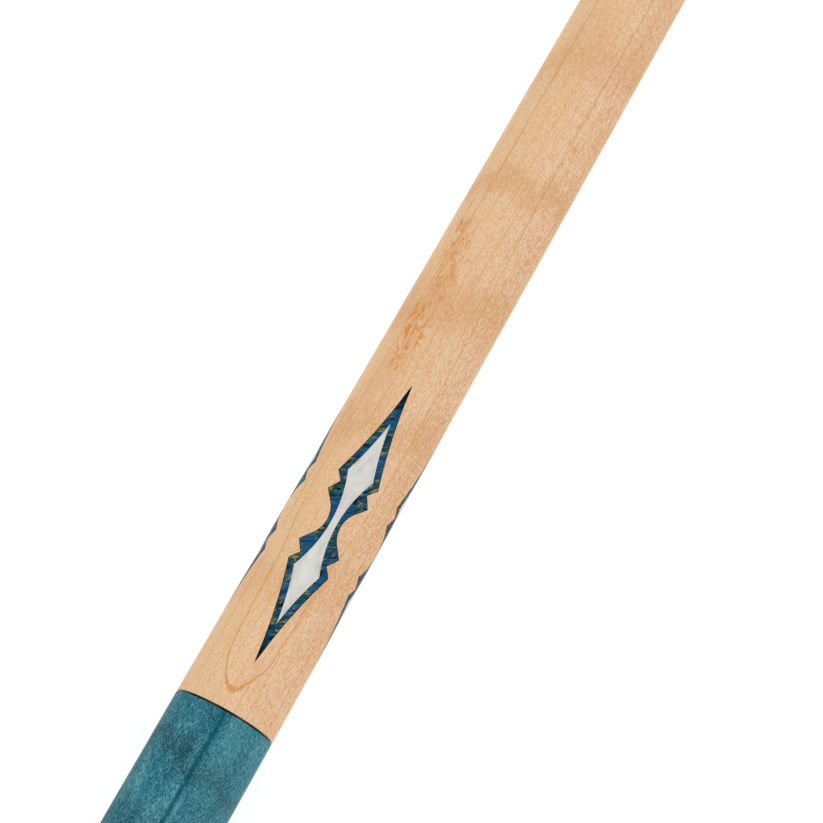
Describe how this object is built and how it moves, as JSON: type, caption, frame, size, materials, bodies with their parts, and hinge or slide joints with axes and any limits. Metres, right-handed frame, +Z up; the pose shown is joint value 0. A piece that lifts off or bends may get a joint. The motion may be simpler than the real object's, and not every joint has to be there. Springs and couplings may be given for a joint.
{
  "type": "pool cue",
  "caption": "Pool cue with an inlaid maple forearm, stained maple handle, threaded joint, tapered maple shaft, ferrule and leather tip.",
  "frame": {"origin": "centre of the rubber bumper's flat end face, on the cue's axis", "axes": "+X runs along the axis from the butt to the tip, +Z is up with the cue lying level, and one forearm inlay faces +Z"},
  "size_m": [1.473, 0.0322, 0.0322],
  "materials": {
    "bumper_rubber": "matte, slightly rough moulded rubber",
    "black_phenolic": "polished black phenolic under clear coat",
    "nickel_silver": "turned and polished nickel silver",
    "natural_maple": "natural maple with fine fleck, high-gloss clear coat",
    "stained_maple": "teal-stained figured maple, high-gloss clear coat",
    "shaft_maple": "pale straight-grained maple, satin",
    "inlay_marbled_blue": "marbled blue composite with dark and gold flecks",
    "inlay_pearl": "pearl composite, softly shimmering",
    "steel": "machined stainless steel",
    "brass_insert": "machined brass",
    "ferrule_white": "polished ivory-white resin",
    "tip_pad_fibre": "vulcanised fibre",
    "tip_leather": "pressed layered leather, chalk-scuffed dome"
  },
  "bodies": {
    "butt": {"butt_cap": "black_phenolic", "butt_cap_ring": "nickel_silver", "butt_sleeve": "natural_maple", "sleeve_inlay_frame_1": "inlay_marbled_blue", "sleeve_inlay_core_1": "inlay_pearl", "sleeve_inlay_frame_2": "inlay_marbled_blue", "sleeve_inlay_core_2": "inlay_pearl", "sleeve_inlay_frame_3": "inlay_marbled_blue", "sleeve_inlay_core_3": "inlay_pearl", "sleeve_inlay_frame_4": "inlay_marbled_blue", "sleeve_inlay_core_4": "inlay_pearl", "handle_rear_ring": "black_phenolic", "handle": "stained_maple", "weight_bolt": "steel", "a_joint_ring": "black_phenolic", "a_joint_stud": "steel", "forearm": "natural_maple", "forearm_inlay_frame_1": "inlay_marbled_blue", "forearm_inlay_core_1": "inlay_pearl", "forearm_inlay_frame_2": "inlay_marbled_blue", "forearm_inlay_core_2": "inlay_pearl", "forearm_inlay_frame_3": "inlay_marbled_blue", "forearm_inlay_core_3": "inlay_pearl", "forearm_inlay_frame_4": "inlay_marbled_blue", "forearm_inlay_core_4": "inlay_pearl", "butt_joint_ring": "nickel_silver", "butt_joint_collar": "black_phenolic", "joint_pin": "steel"},
    "bumper": {"bumper": "bumper_rubber"},
    "joint_ring": {"shaft_joint_ring": "nickel_silver"},
    "shaft": {"shaft_joint_collar": "black_phenolic", "shaft_insert": "brass_insert", "shaft": "shaft_maple", "ferrule": "ferrule_white", "tip_pad": "tip_pad_fibre", "tip": "tip_leather"}
  },
  "joints": [
    {"name": "bumper_pull", "type": "slide", "parent": "butt", "child": "bumper", "axis": [-1, 0, 0], "range_m": [0, 0.03]},
    {"name": "shaft_advance", "type": "slide", "parent": "butt", "child": "joint_ring", "axis": [1, 0, 0], "range_m": [0, 0.03302]},
    {"name": "shaft_screw", "type": "hinge", "parent": "joint_ring", "child": "shaft", "pos_m": [0.75, 0, 0], "axis": [1, 0, 0], "range_deg": [0, 4686]}
  ],
  "couplings": [
    {"joint": "shaft_screw", "follows": "shaft_advance", "rad_per_m": 2473.7}
  ]
}
